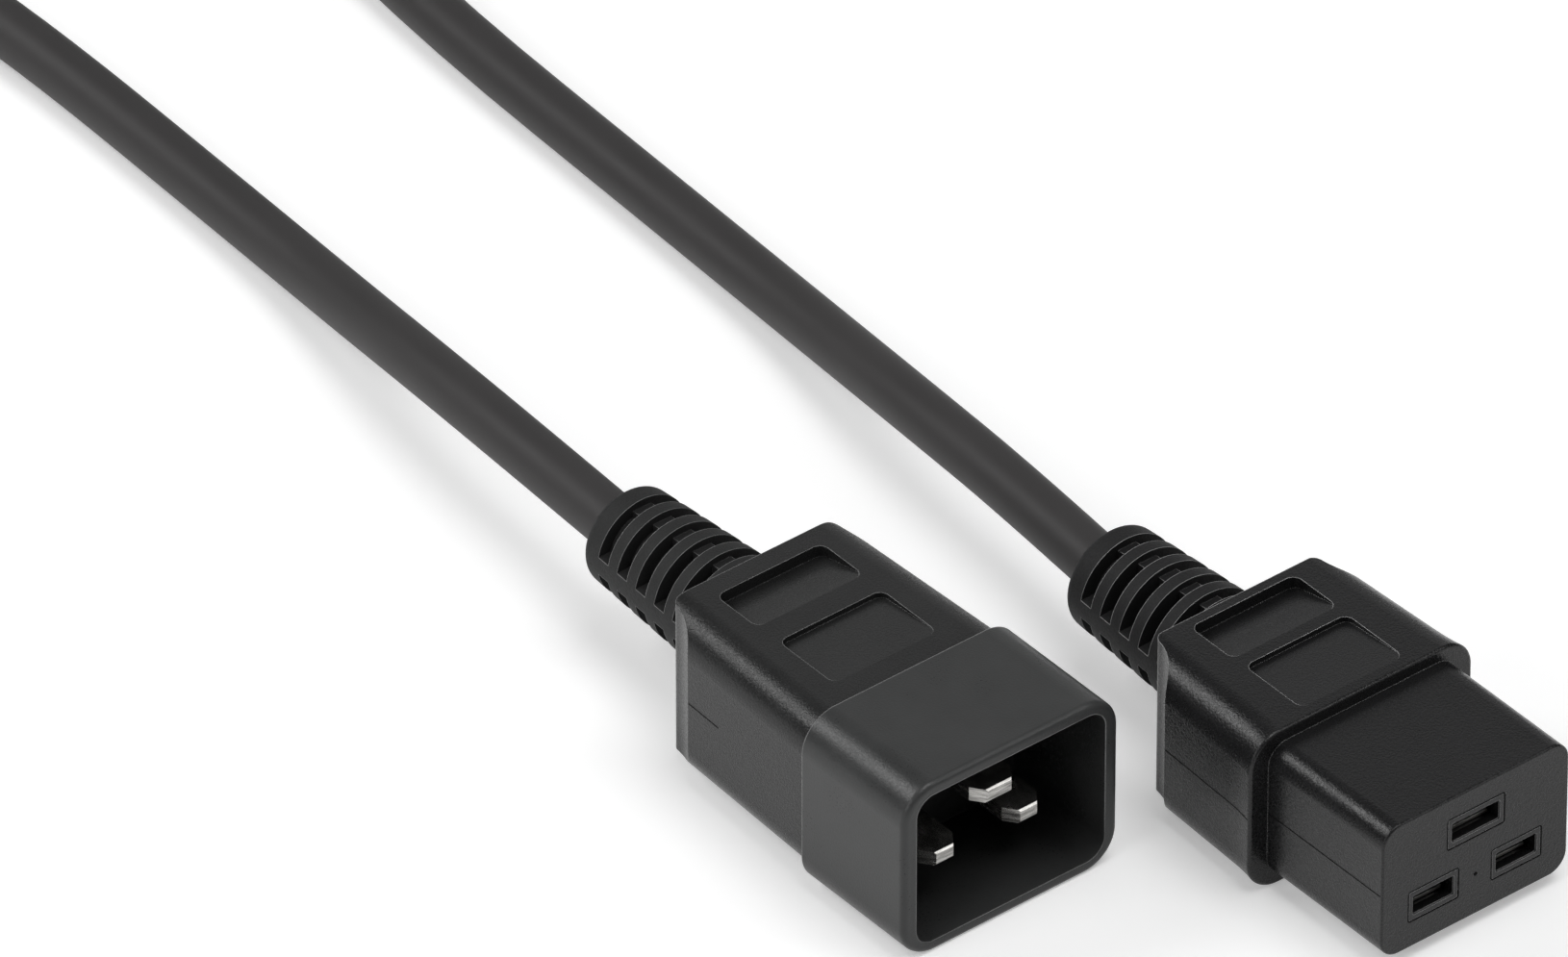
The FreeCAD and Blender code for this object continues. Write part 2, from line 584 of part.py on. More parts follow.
def flat_pin(pole, aside, high, wide, recess):
    """Flat pin with a narrowing, bevelled tip and a crimp barrel at its tail."""
    body = new_body("c20_pin_" + pole, C20, ("0", aside, high))
    tail = "(shroud_long + key_long + pin_tail)"
    half = f"{wide} / 2"
    slim = f"({wide} / 2 - tip_slope)"
    plan = polygon(body, pole + "_plan", "XY_Plane", [
        (f"-{recess}", f"-{slim}"), (f"-{recess}", slim),
        (f"-{recess} - tip_long", half), (f"-{tail}", half),
        (f"-{tail}", f"-{half}"), (f"-{recess} - tip_long", f"-{half}"),
    ])
    extrude(body, "Pad", plan, "pin_thick", side="Symmetric")
    for name, sign in (("top", "1"), ("bottom", "-1")):
        bevel = polygon(body, f"{pole}_{name}_bevel", "XZ_Plane", [
            (f"-{recess} + overlap", f"{sign} * (pin_thick / 2 - tip_bevel)"),
            (f"-{recess} + overlap", f"{sign} * (pin_thick / 2 + overlap)"),
            (f"-{recess} - tip_bevel", f"{sign} * (pin_thick / 2 + overlap)"),
            (f"-{recess} - tip_bevel", f"{sign} * pin_thick / 2"),
            (f"-{recess}", f"{sign} * (pin_thick / 2 - tip_bevel)"),
        ])
        extrude(body, "Pocket", bevel, wide, side="Symmetric")
    barrel = circle_sketch(body, pole + "_tail", "YZ_Plane", "crimp_wide", out=f"-{tail} - crimp_long")
    extrude(body, "Pad", barrel, "crimp_long + overlap")
    bore = circle_sketch(body, pole + "_tail_bore", "YZ_Plane", "strand_wide", out=f"-{tail} - crimp_long")
    extrude(body, "Pocket", bore, "crimp_long - crimp_floor", back=True)
    return body


# ------------------------------------------------------------------------------ cores and sheath

def rounded_path(points, reach=0.45):
    """Straight runs joined by tangent arcs, each as large as reach of its shorter run allows."""
    edges = []
    radii = []
    last = points[0]
    for before, corner, after in zip(points, points[1:], points[2:]):
        into = (corner - before).normalize()
        away = (after - corner).normalize()
        turn = into.getAngle(away)
        trim = reach * min((corner - before).Length, (after - corner).Length)
        radius = trim / math.tan(turn / 2)
        start = corner - into * trim
        end = corner + away * trim
        middle = corner + (away - into).normalize() * (radius / math.cos(turn / 2) - radius)
        edges.append(Part.LineSegment(last, start).toShape())
        edges.append(Part.Arc(start, middle, end).toShape())
        radii.append(radius)
        last = end
    edges.append(Part.LineSegment(last, points[-1]).toShape())
    return Part.Wire(edges), radii


def tube(name, points, diameter, behind=0.0):
    """Round solid along a rounded path; its volume is compared with section times length.

    With behind, it is started that much before its first point and cut off flat there, across X.
    """
    start = points[0] - (points[1] - points[0]).normalize() * behind
    path, radii = rounded_path([start] + points[1:])
    ring = Part.Wire(Part.Circle(start, points[1] - start, diameter / 2).toShape())
    solid = path.makePipeShell([ring], True, False)
    expected = math.pi * diameter ** 2 / 4 * path.Length
    if abs(solid.Volume - expected) > 0.01 * expected:
        raise RuntimeError(f"{name}: volume {solid.Volume:.1f}, section times length {expected:.1f}")
    if behind:
        corner = points[0] - V(0, diameter, diameter)
        solid = solid.cut(Part.makeBox(2 * behind, 2 * diameter, 2 * diameter, corner))
    item = doc.addObject("Part::Feature", name)
    item.Shape = solid
    item.Placement = FreeCAD.Placement()
    print(f"{name}: {path.Length:.1f} mm, arc radii", " ".join(f"{radius:.0f}" for radius in radii))
    return named(item, name)


def rod(name, seat, diameter, length, shift):
    """Cylinder along X that starts at shift from a connector's mating face."""
    item = doc.addObject("Part::Cylinder", name)
    item.Placement = FreeCAD.Placement(V(), FreeCAD.Rotation(V(0, 1, 0), 90))
    place(item, seat, shift)
    item.setExpression("Radius", formula(f"{diameter} / 2"))
    item.setExpression("Height", formula(length))
    return named(item, name)


def wiring(prefix, seat, crimp_front, total):
    """Bared copper, insulated cores and the end of the sheath behind one connector's contacts."""
    pieces = [rod(prefix + "sheath_end", seat, "cord_wide", "sheath_in", (f"-{total}", "0", "cord_rise"))]
    lead = V(size("core_lead"), 0, 0)
    for pole, aside, high, _ in POLES:
        copper = f"-{crimp_front} - crimp_floor - strand_long"
        pieces.append(rod(f"{prefix}strand_{pole}", seat, "strand_wide", "strand_long", (copper, aside, high)))
        turn = CORE_ANGLES[pole]
        front = spot(seat, copper, aside, high)
        rear = spot(seat, f"sheath_in - {total}", f"core_ring * cos({turn} deg)",
                    f"cord_rise + core_ring * sin({turn} deg)")
        pieces.append(tube(f"{prefix}core_{pole}", [front, front - lead, rear + lead, rear], size("core_wide")))
    return pieces


# ------------------------------------------------------------------------------ free cord and coil

def on_coil(angle, across, high):
    """Point of the coil at an angle in degrees and a distance from its axis."""
    turn = math.radians(angle)
    return V(size("coil_x") + across * math.cos(turn), size("coil_y") + across * math.sin(turn), high)


def along_coil(angle):
    """Direction of the cord where it runs round the coil."""
    turn = math.radians(angle)
    return V(-math.sin(turn), math.cos(turn), 0)


def coil_ring():
    """Outer shape of the coil's turns."""
    body = doc.addObject("PartDesign::Body", "coil_ring")
    body.setExpression("Placement.Base.x", formula("coil_x"))
    body.setExpression("Placement.Base.y", formula("coil_y"))
    section = rounded_box(body, "coil_section", "XZ_Plane", "coil_across * cord_wide",
                          "coil_layers * cord_wide", "cord_wide / 2", right="coil_mean / 2",
                          up="tie_thick + coil_layers * cord_wide / 2")
    turned = body.newObject("PartDesign::Revolution", "coil_turned")
    turned.Profile = section
    turned.ReferenceAxis = (origin_feature(body, "Z_Axis"), [""])
    turned.Angle = 360.0
    return body


def coil_tie(name, angle, ring):
    """Strap round the coil's section."""
    body = doc.addObject("PartDesign::Body", name + "_blank")
    body.Placement = FreeCAD.Placement(V(), FreeCAD.Rotation(V(0, 0, 1), angle))
    body.setExpression("Placement.Base.x", formula("coil_x"))
    body.setExpression("Placement.Base.y", formula("coil_y"))
    section = rounded_box(body, name + "_section", "XZ_Plane", "coil_across * cord_wide + 2 * tie_thick",
                          "coil_layers * cord_wide + 2 * tie_thick", "cord_wide / 2 + tie_thick",
                          right="coil_mean / 2", up="tie_thick + coil_layers * cord_wide / 2")
    turned = body.newObject("PartDesign::Revolution", name + "_turned")
    turned.Profile = section
    turned.ReferenceAxis = (origin_feature(body, "Z_Axis"), [""])
    turned.Midplane = True
    turned.setExpression("Angle", formula("tie_angle"))
    cut = doc.addObject("Part::Cut", name)
    cut.Base = body
    cut.Tool = ring
    return named(cut, name)


def free_cord():
    """Both visible stretches on the floor, joined by the coil of the length between them."""
    outer_turn = worth("coil_mean / 2 + cord_wide * (coil_across - 1) / 2")
    low = worth("tie_thick + cord_wide / 2")
    high = worth("tie_thick + cord_wide * (coil_layers - 1 / 2)")
    enter = on_coil(ENTER_ANGLE, outer_turn, low)
    leave = on_coil(LEAVE_ANGLE, outer_turn, high)
    into = along_coil(ENTER_ANGLE)
    away = along_coil(LEAVE_ANGLE)
    stub = size("coil_stub")

    for name, seat, total, route, turn, course in (
        ("cord_from_c19", C19, "c19_length", FROM_C19, enter, into * -1),
        ("cord_to_c20", C20, "plug_length", FROM_C20, leave, away),
    ):
        mouth = spot(seat, f"-{total}", "0", "cord_rise")
        run_in = [turn + course * (stub + RUN_IN), turn + course * stub]
        tube(name, [mouth] + route + run_in, size("cord_wide"), behind=size("overlap"))

    ring = coil_ring()
    stubs = []
    for name, point, course in (("coil_entry", enter, into * -1), ("coil_exit", leave, away)):
        item = doc.addObject("Part::Cylinder", name)
        item.setExpression("Radius", formula("cord_wide / 2"))
        item.setExpression("Height", formula("coil_stub"))
        item.Placement = FreeCAD.Placement(point, FreeCAD.Rotation(V(0, 0, 1), course))
        stubs.append(item)
    coil = doc.addObject("Part::MultiFuse", "cord_coil")
    coil.Shapes = [ring] + stubs
    named(coil, "cord_coil")
    coil_tie("coil_tie_near", 0, ring)
    coil_tie("coil_tie_far", 180, ring)


# ------------------------------------------------------------------------------ assembly

def build_c19():
    blank = contact_carrier("c19_carrier_blank", hollow=False)
    carrier = contact_carrier("c19_carrier", hollow=True)
    contacts = [named(receptacle(*pole), "c19_contact_" + pole[0]) for pole in POLES]
    doc.recompute()
    named(drill("c19_contact_carrier", carrier, contacts), "c19_contact_carrier")
    wires = wiring("c19_", C19, "(tower_long + plate_thick + neck_long)", "c19_length")
    named(drill("c19_housing", c19_overmoulding(), [blank] + contacts + wires), "c19_housing")


def build_c20():
    pins = [named(flat_pin(*pin), "c20_pin_" + pin[0]) for pin in PINS]
    shell = named(drill("c20_shroud", shroud(), pins), "c20_shroud")
    wires = wiring("c20_", C20, "(shroud_long + key_long + pin_tail)", "plug_length")
    named(drill("c20_housing", c20_overmoulding(), [shell] + pins + wires), "c20_housing")


def check_and_export():
    doc.recompute()
    for item in doc.Objects:
        if "Invalid" in item.State or "Error" in item.State:
            raise RuntimeError(f"{item.Name}: {item.State}")
    for item in NODES:
        if item.Shape.isNull() or not item.Shape.isValid():
            raise RuntimeError(f"{item.Label} has no valid shape")
        if len(item.Shape.Solids) != 1:
            raise RuntimeError(f"{item.Label} has {len(item.Shape.Solids)} solids")
    os.makedirs("parts", exist_ok=True)
    for item in NODES:
        item.Shape.exportStep(f"parts/{item.Label}.step")
        print(f"{item.Label}: {item.Shape.Volume:.0f} mm3")


build_c19()
build_c20()
free_cord()
check_and_export()
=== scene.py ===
import math

import bpy
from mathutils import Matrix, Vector
from mathutils.bvhtree import BVHTree


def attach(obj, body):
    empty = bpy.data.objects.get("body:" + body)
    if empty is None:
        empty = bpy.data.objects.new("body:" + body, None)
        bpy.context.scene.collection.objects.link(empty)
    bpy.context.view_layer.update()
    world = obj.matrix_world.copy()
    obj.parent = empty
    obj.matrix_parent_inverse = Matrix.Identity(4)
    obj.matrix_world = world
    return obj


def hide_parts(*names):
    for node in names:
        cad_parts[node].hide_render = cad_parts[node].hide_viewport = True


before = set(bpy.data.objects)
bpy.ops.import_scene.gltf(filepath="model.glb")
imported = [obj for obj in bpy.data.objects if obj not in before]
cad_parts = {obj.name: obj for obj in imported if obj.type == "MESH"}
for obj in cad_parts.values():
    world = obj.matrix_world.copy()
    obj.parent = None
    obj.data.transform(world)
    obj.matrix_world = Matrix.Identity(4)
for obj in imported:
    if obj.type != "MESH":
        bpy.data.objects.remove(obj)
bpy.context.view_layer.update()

# Looks of a data centre jumper lead: a C19 connector, its free cord with the spare length coiled
# and strapped, and the C20 plug on the cord's other end. The frame is the CAD model's. Sizes of the
# object are in millimetres, times MM where Blender takes them. The camera's, the floor's and the
# lamps' are in metres.

MM = 0.001

# ------------------------------------------------------------------------------------- helpers


def ramp(value, low, high):
    """0 below low, 1 above high, and an even change between them."""
    return min(max((value - low) / (high - low), 0.0), 1.0)


def ease(value, low, high):
    """0 below low, 1 above high, and a smooth step between them."""
    part = ramp(value, low, high)
    return part * part * (3.0 - 2.0 * part)


def compass(degrees):
    """Unit vector in a plane, counted from its first axis towards its second."""
    turn = math.radians(degrees)
    return Vector((math.cos(turn), math.sin(turn)))


def show(name, data):
    """New object in the scene."""
    item = bpy.data.objects.new(name, data)
    bpy.context.collection.objects.link(item)
    return item


def face_along(item, course):
    """Turns a camera or lamp so that it looks against the direction course."""
    item.rotation_euler = course.to_track_quat("Z", "Y").to_euler()


def new_piece(name, points, faces, smooth=False):
    """Mesh piece of the object, from points in millimetres."""
    mesh = bpy.data.meshes.new(name)
    mesh.from_pydata([Vector(point) * MM for point in points], [], faces)
    if smooth:
        mesh.shade_smooth()
    piece = show(name, mesh)
    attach(piece, "root")
    return piece


def skin(rings, sides, hoop=False, inside_out=False):
    """Faces over rings of points: a hoop that joins its last ring to its first, or a bar with two ends."""
    faces = []
    for k in range(rings if hoop else rings - 1):
        here, there = k * sides, (k + 1) % rings * sides
        for j in range(sides):
            beside = (j + 1) % sides
            faces.append((here + j, here + beside, there + beside, there + j))
    if not hoop:
        faces.append(tuple(range(sides))[::-1])
        faces.append(tuple(range((rings - 1) * sides, rings * sides)))
    return [face[::-1] for face in faces] if inside_out else faces


# ------------------------------------------------------------------------------------- camera

CAMERA_AZIMUTH = math.radians(-39.08)   # round the object, from +X
CAMERA_HEIGHT = math.radians(37.39)     # above the horizon
CAMERA_PLACE = (1.6405, -1.4108, 1.7002)
CAMERA_CLIP = (0.01, 20.0)
LENS_MM = 523.24
SENSOR_MM = 36.0


def make_camera():
    """Long lens that looks down at both connectors from the front left."""
    data = bpy.data.cameras.new("camera")
    data.sensor_width = SENSOR_MM
    data.lens = LENS_MM
    data.clip_start, data.clip_end = CAMERA_CLIP
    camera = show("camera", data)
    camera.location = CAMERA_PLACE
    flat = math.cos(CAMERA_HEIGHT)
    face_along(camera, Vector((
        flat * math.cos(CAMERA_AZIMUTH), flat * math.sin(CAMERA_AZIMUTH), math.sin(CAMERA_HEIGHT),
    )))
    bpy.context.scene.camera = camera


make_camera()

# --------------------------------------------------------------------------------------- cord

CORD_WIDE = 7.3
C19_EXIT = (-34.3, 0.0, 12.4)
C20_EXIT = (-76.6, -41.3, 13.55)

# Route from each strain relief to the coil
FROM_C19 = [(-54, 2.0, 12.3), (-76, 4.2, 10.9), (-98, 8.6, 6.6), (-121, 11.8, 3.9), (-203, 15.7, 3.65)]
FROM_C20 = [
    (-96.5, -40.2, 13.4), (-118, -37.8, 11.5), (-140, -33.5, 6.9),
    (-163, -30.2, 3.9), (-216, -27.9, 3.65), (-241, -32.2, 5.8),
]

COIL_MIDDLE = Vector((-325.0, -6.25, 0.0))
COIL_LANES = (47.8, 40.5, 33.2)         # radii of the turns, from the outside in
COIL_LOW = 4.65                         # cord's middle in the lower layer
COIL_RISE = CORD_WIDE                   # from there to the upper layer
COIL_STUB = 30.0                        # straight cord beside the coil
RUN_IN = 22.0                           # straight run before that
ENTER_ANGLE = 77.8
LEAVE_ANGLE = 284.0
FULL_TURNS = 5
POINTS_PER_TURN = 24
LANE_CHANGE = (290.0, 358.0)            # part of each turn in which the cord moves a lane inwards
CLIMB = 120.0                           # part of a turn in which it climbs to the upper layer
CORD_STEPS = 8                          # between two points of the route
CORD_BEVEL = 10                         # gives the cord 24 sides


def on_coil(radius, degrees, height):
    """Point of the coil."""
    return COIL_MIDDLE + Vector((*(radius * compass(degrees)), height))


def coil_points():
    """Turns on the lower layer from the outside in, a climb, and turns on the upper layer back out."""
    total = LEAVE_ANGLE - ENTER_ANGLE + 360.0 * FULL_TURNS
    steps = round(total / 360.0 * POINTS_PER_TURN)
    # How much smaller the spline's circle is than that of its control points
    shrink = 0.75 + 0.25 * math.cos(math.radians(total / steps))
    points = []
    for k in range(steps + 1):
        gone = total * k / steps
        from_end = min(gone, total - gone)
        lanes_in = sum(
            ramp(from_end, LANE_CHANGE[0] + 360.0 * lane, LANE_CHANGE[1] + 360.0 * lane)
            for lane in range(len(COIL_LANES) - 1)
        )
        radius = (COIL_LANES[0] - lanes_in * (COIL_LANES[0] - COIL_LANES[1])) / shrink
        height = COIL_LOW + COIL_RISE * ease(gone, (total - CLIMB) / 2, (total + CLIMB) / 2)
        points.append(on_coil(radius, ENTER_ANGLE + gone, height))
    return points


def beside_coil(degrees, height, sign):
    """The straight run beside the coil: its far end, then the point where the coil's stub starts."""
    meet = on_coil(COIL_LANES[0], degrees, height)
    course = sign * Vector((*compass(degrees + 90.0), 0.0))
    return [meet + course * (COIL_STUB + RUN_IN), meet + course * COIL_STUB]


TURNS_HALF = (1.5 * CORD_WIDE, CORD_WIDE)   # half width and half height of the coil's section
TURNS_ROUND = CORD_WIDE / 2
STRAP_WIDE = 15.2
STRAP_THICK = 0.85
STRAP_START = -20.0                     # where the wrap begins, from the middle of the top
STRAP_LAP = 25.5                        # length of the free end that lies on the first wrap
STRAP_GAP = 0.12                        # between the two
STRAP_LIFT = (-4.0, 0.5)                # where the strap rises on to itself, from the wrap's full length
STRAP_STEP = 0.42                       # spacing of the weave
STRAP_SELVEDGE = 3                      # plain columns along each edge
EDGE_DROP = 0.4                         # rounding of the two long edges
WEAVE = (-0.05, 0.07)                   # height of the even and of the odd crossings
HEM_LONG = 6.5                          # folded-back end
HEM_THICK = 0.55
HEM_SLOPE = 0.6
END_ROUND = (0.5, 0.35)                 # length and drop of the rounding at the free end
STITCH_ROWS = (1.6, 5.4)                # distance of the seams from the free end
STITCH_HALF = 0.3                       # half their width
STITCH_HIGH = 0.2
STITCH_EVERY = 4                        # columns from one stitch to the next


def round_the_turns(gone):
    """Place and outward direction on the rounded rectangle round the coil's turns: (across, up)."""
    wide, high = (half - TURNS_ROUND for half in TURNS_HALF)
    corner = math.pi / 2 * TURNS_ROUND
    gone %= 4 * (wide + high + corner)
    direction = 90.0                    # starts at the middle of the top, then outwards and down
    centre = Vector((0.0, high))
    runs = [wide, 2 * high, 2 * wide, 2 * high, wide]
    for number, run in enumerate(runs):
        normal = compass(direction)
        course = compass(direction - 90.0)
        if gone <= run or number == len(runs) - 1:
            return centre + course * gone + normal * TURNS_ROUND, normal
        gone -= run
        centre = centre + course * run
        if gone <= corner:
            normal = compass(direction - 90.0 * gone / corner)
            return centre + normal * TURNS_ROUND, normal
        gone -= corner
        direction -= 90.0


def strap_faces(stations, columns):
    """Faces of a tape that has, at each station and column, a lower and then an upper point."""
    faces = []
    row = 2 * (columns + 1)
    for i in range(stations):
        for j in range(columns):
            low = i * row + 2 * j
            faces.append((low, low + 2, low + row + 2, low + row))
            faces.append((low + 1, low + row + 1, low + row + 3, low + 3))
        first, last = i * row, i * row + 2 * columns
        faces.append((first, first + row, first + row + 1, first + 1))
        faces.append((last + 1, last + row + 1, last + row, last))
    for j in range(columns):
        start, stop = 2 * j, stations * row + 2 * j
        faces.append((start, start + 1, start + 3, start + 2))
        faces.append((stop + 2, stop + 3, stop + 1, stop))
    return faces


def make_strap(name, degrees):
    """Woven hook-and-loop strap: one wrap round the turns, with a hemmed free end on top of itself."""
    wide, high = (half - TURNS_ROUND for half in TURNS_HALF)
    wrap = 4 * (wide + high + math.pi / 2 * TURNS_ROUND)
    stations = round((wrap + STRAP_LAP) / STRAP_STEP)
    columns = round(STRAP_WIDE / STRAP_STEP)
    points = []
    for i in range(stations + 1):
        gone = (wrap + STRAP_LAP) * i / stations
        place, normal = round_the_turns(gone + STRAP_START)
        lift = (STRAP_THICK + STRAP_GAP) * ease(gone, wrap + STRAP_LIFT[0], wrap + STRAP_LIFT[1])
        to_end = wrap + STRAP_LAP - gone
        thick = STRAP_THICK + HEM_THICK * ease(HEM_LONG - to_end, 0.0, HEM_SLOPE)
        thick -= END_ROUND[1] * ease(END_ROUND[0] - to_end, 0.0, END_ROUND[0])
        in_seam = any(abs(to_end - row) < STITCH_HALF for row in STITCH_ROWS)
        for j in range(columns + 1):
            across = STRAP_WIDE * (j / columns - 0.5)
            from_edge = min(j, columns - j)
            top = thick
            if from_edge == 0:
                top -= EDGE_DROP
            elif from_edge >= STRAP_SELVEDGE:
                top += WEAVE[(i + j) % 2]
                if in_seam and (j - STRAP_SELVEDGE) % STITCH_EVERY < STITCH_EVERY / 2:
                    top += STITCH_HIGH
            for depth in (lift, lift + top):
                spot = place + normal * depth
                reach = COIL_LANES[1] + spot.x
                height = COIL_LOW + COIL_RISE / 2 + spot.y
                points.append(on_coil(reach, degrees + math.degrees(across / reach), height))
    return new_piece(name, points, strap_faces(stations, columns), smooth=True)


strap_near = make_strap("strap_near", 0.0)
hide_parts("coil_tie_near")
strap_far = make_strap("strap_far", 180.0)
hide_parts("coil_tie_far")


def make_cord():
    """One round cord from the C19 strain relief through the coil to the C20 strain relief."""
    route = [Vector(C19_EXIT)] + [Vector(point) for point in FROM_C19]
    route += beside_coil(ENTER_ANGLE, COIL_LOW, -1)
    route += coil_points()
    route += reversed(beside_coil(LEAVE_ANGLE, COIL_LOW + COIL_RISE, 1))
    route += [Vector(point) for point in reversed(FROM_C20)] + [Vector(C20_EXIT)]
    curve = bpy.data.curves.new("cord", "CURVE")
    curve.dimensions = "3D"
    curve.resolution_u = CORD_STEPS
    curve.bevel_depth = 1.0             # times each point's radius
    curve.bevel_resolution = CORD_BEVEL
    spline = curve.splines.new("NURBS")
    spline.points.add(len(route) - 1)
    for target, point in zip(spline.points, route):
        target.co = (*(point * MM), 1.0)
        target.radius = CORD_WIDE * MM / 2
    spline.order_u = 3
    spline.use_endpoint_u = True
    cord = show("cord", curve)
    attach(cord, "root")
    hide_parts("cord_from_c19", "cord_to_c20", "cord_coil")
    return cord


cord = make_cord()

# -------------------------------------------------------------------------------- mould marks

C19_FACE = 34.3                         # mating face
MARK_SUNK = 0.12                        # how deep each mark's piece sits in the surface
SEAM_RIB = (0.12, 0.035)                # width and height
SEAM_STEP = 0.4
SEAM_SEARCH = 30.0                      # from this far aside the housing's side is looked for
SEAMS = {                               # node, slot, start, stop, level, middle
    "c19_body_seam": ("c19_housing", "overmoulding", -4.0, 12.6, 11.6, 0.0),
    "c19_nose_seam": ("c19_housing", "overmoulding", 13.2, 33.9, 11.6, 0.0),
    "c20_body_seam": ("c20_housing", "plug_overmoulding", -45.6, -39.6, 13.2, -41.3),
}
JOINT_RIB = (0.13, 0.015)
JOINT_ROUND = 0.35
JOINT_ARC = 5                           # steps round each corner
JOINTS = {                              # middle and level of the ring, its width and height
    "c19_joint_earth": (0.0, 16.0, 9.0, 4.6),
    "c19_joint_line": (-6.5, 8.0, 7.9, 4.6),
    "c19_joint_neutral": (6.5, 8.0, 7.9, 4.6),
}
GATE_PLACE = (0.1, 8.0)                 # aside and up on the mating face
GATE_RINGS = ((0.275, -MARK_SUNK), (0.275, 0.036), (0.22, 0.06), (0.121, 0.03))   # radius and height
GATE_SIDES = 20


def rib_section(wide, proud):
    """Corners of a rib's section: aside along the surface, and out of it."""
    return ((-wide / 2, -MARK_SUNK), (-wide / 2, proud), (wide / 2, proud), (wide / 2, -MARK_SUNK))


def make_seam(name, node, slot, start, stop, level, middle, side):
    """Parting line of the mould: a hair-thin rib that follows the housing's side at one height."""
    surface = BVHTree.FromObject(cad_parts[node], bpy.context.evaluated_depsgraph_get())
    section = rib_section(*SEAM_RIB)
    points = []
    steps = round((stop - start) / SEAM_STEP)
    for k in range(steps + 1):
        along = start + (stop - start) * k / steps
        outside = Vector((along, middle + side * SEAM_SEARCH, level)) * MM
        edge = surface.ray_cast(outside, Vector((0.0, -side, 0.0)))[0].y / MM
        points += [(along, edge + side * out, level + up) for up, out in section]
    return new_piece(name, points, skin(steps + 1, len(section), inside_out=side < 0))


def make_gate(name):
    """Trace of the injection gate: a tiny sheared-off boss on the mating face."""
    middle, level = GATE_PLACE
    points = []
    for radius, out in GATE_RINGS:
        for j in range(GATE_SIDES):
            aside, up = radius * compass(360.0 * j / GATE_SIDES)
            points.append((C19_FACE + out, middle + aside, level + up))
    return new_piece(name, points, skin(len(GATE_RINGS), GATE_SIDES))


def make_joint(name, middle, level, wide, high):
    """Hair-thin joint round a tower that ends flush in the mating face, as a rounded rectangular ring."""
    section = rib_section(*JOINT_RIB)
    points = []
    for number, (sign_y, sign_z) in enumerate(((1, 1), (-1, 1), (-1, -1), (1, -1))):
        for k in range(JOINT_ARC + 1):
            course = compass(90.0 * (number + k / JOINT_ARC))
            for reach, out in section:
                points.append((
                    C19_FACE + out,
                    middle + sign_y * (wide / 2 - JOINT_ROUND) + (JOINT_ROUND + reach) * course.x,
                    level + sign_z * (high / 2 - JOINT_ROUND) + (JOINT_ROUND + reach) * course.y,
                ))
    return new_piece(name, points, skin(4 * (JOINT_ARC + 1), len(section), hoop=True))


marks = [make_gate("c19_gate_mark")]
marks += [make_joint(name, *settings) for name, settings in JOINTS.items()]
for side, label in ((-1, "right"), (1, "left")):
    marks += [make_seam(f"{name}_{label}", *settings, side) for name, settings in SEAMS.items()]

# ---------------------------------------------------------------------------------- materials

WHITE = (1.0, 1.0, 1.0, 1.0)
NOISE_SPAN = (0.3, 0.7)                 # most of a noise texture's values
SOFT_EDGE_SAMPLES = 12
HOLLOW_SAMPLES = 6


def dimmed(colour, share):
    """The colour times share, opaque."""
    return (*(share * part for part in colour), 1.0)


class Surface:
    """A new material and short ways to add nodes to it. A value is a number, a colour or a socket."""

    def __init__(self, name):
        self.material = bpy.data.materials.new(name)
        self.material.use_nodes = True
        self.tree = self.material.node_tree
        self.shader = self.tree.nodes["Principled BSDF"]

    def put(self, socket, value):
        """Gives an input its value."""
        if isinstance(value, bpy.types.NodeSocket):
            self.tree.links.new(value, socket)
        else:
            socket.default_value = value

    def fill(self, node, **values):
        """Gives a node's inputs their values. Their names have _ for a space."""
        for name, value in values.items():
            self.put(node.inputs[name.replace("_", " ")], value)

    def look(self, **values):
        """Gives the shader's inputs their values."""
        self.fill(self.shader, **values)

    def add(self, kind, **values):
        """New node."""
        node = self.tree.nodes.new("ShaderNode" + kind)
        self.fill(node, **values)
        return node

    def place(self):
        """Place on the object."""
        return self.add("TexCoord").outputs["Object"]

    def combine(self, operation, first, second, kind="Math"):
        """Sum, product or the like of two values."""
        node = self.add(kind)
        node.operation = operation
        self.put(node.inputs[0], first)
        self.put(node.inputs[1], second)
        return node.outputs["Value"]

    def noise(self, place, grain, detail=2.0, roughness=0.5):
        """Noise whose features are about grain wide, in millimetres."""
        scale = 1.0 / (grain * MM)
        node = self.add("TexNoise", Vector=place, Scale=scale, Detail=detail, Roughness=roughness)
        return node.outputs["Fac"]

    def spread(self, value, low, high, span=NOISE_SPAN):
        """Maps a span of the value to a range."""
        start, stop = span
        node = self.add("MapRange", Value=value, From_Min=start, From_Max=stop, To_Min=low, To_Max=high)
        return node.outputs["Result"]

    def mix(self, factor, first, second):
        """Colour between two colours."""
        node = self.add("Mix")
        node.data_type = "RGBA"
        self.fill(node, Factor=factor, A=first, B=second)
        return node.outputs["Result"]

    def tint(self, factor, colour, darkest, palest):
        """The colour times something between darkest and palest."""
        return self.mix(factor, dimmed(colour, darkest), dimmed(colour, palest))

    def soft_edge(self, radius):
        """Normal that rounds sharp edges, with a radius in millimetres."""
        node = self.add("Bevel", Radius=radius * MM)
        node.samples = SOFT_EDGE_SAMPLES
        return node.outputs["Normal"]

    def bump(self, height, depth, **normal):
        """Normal of a surface with a relief that is at most depth deep, in millimetres."""
        return self.add("Bump", Strength=1.0, Distance=depth * MM, Height=height, **normal).outputs["Normal"]


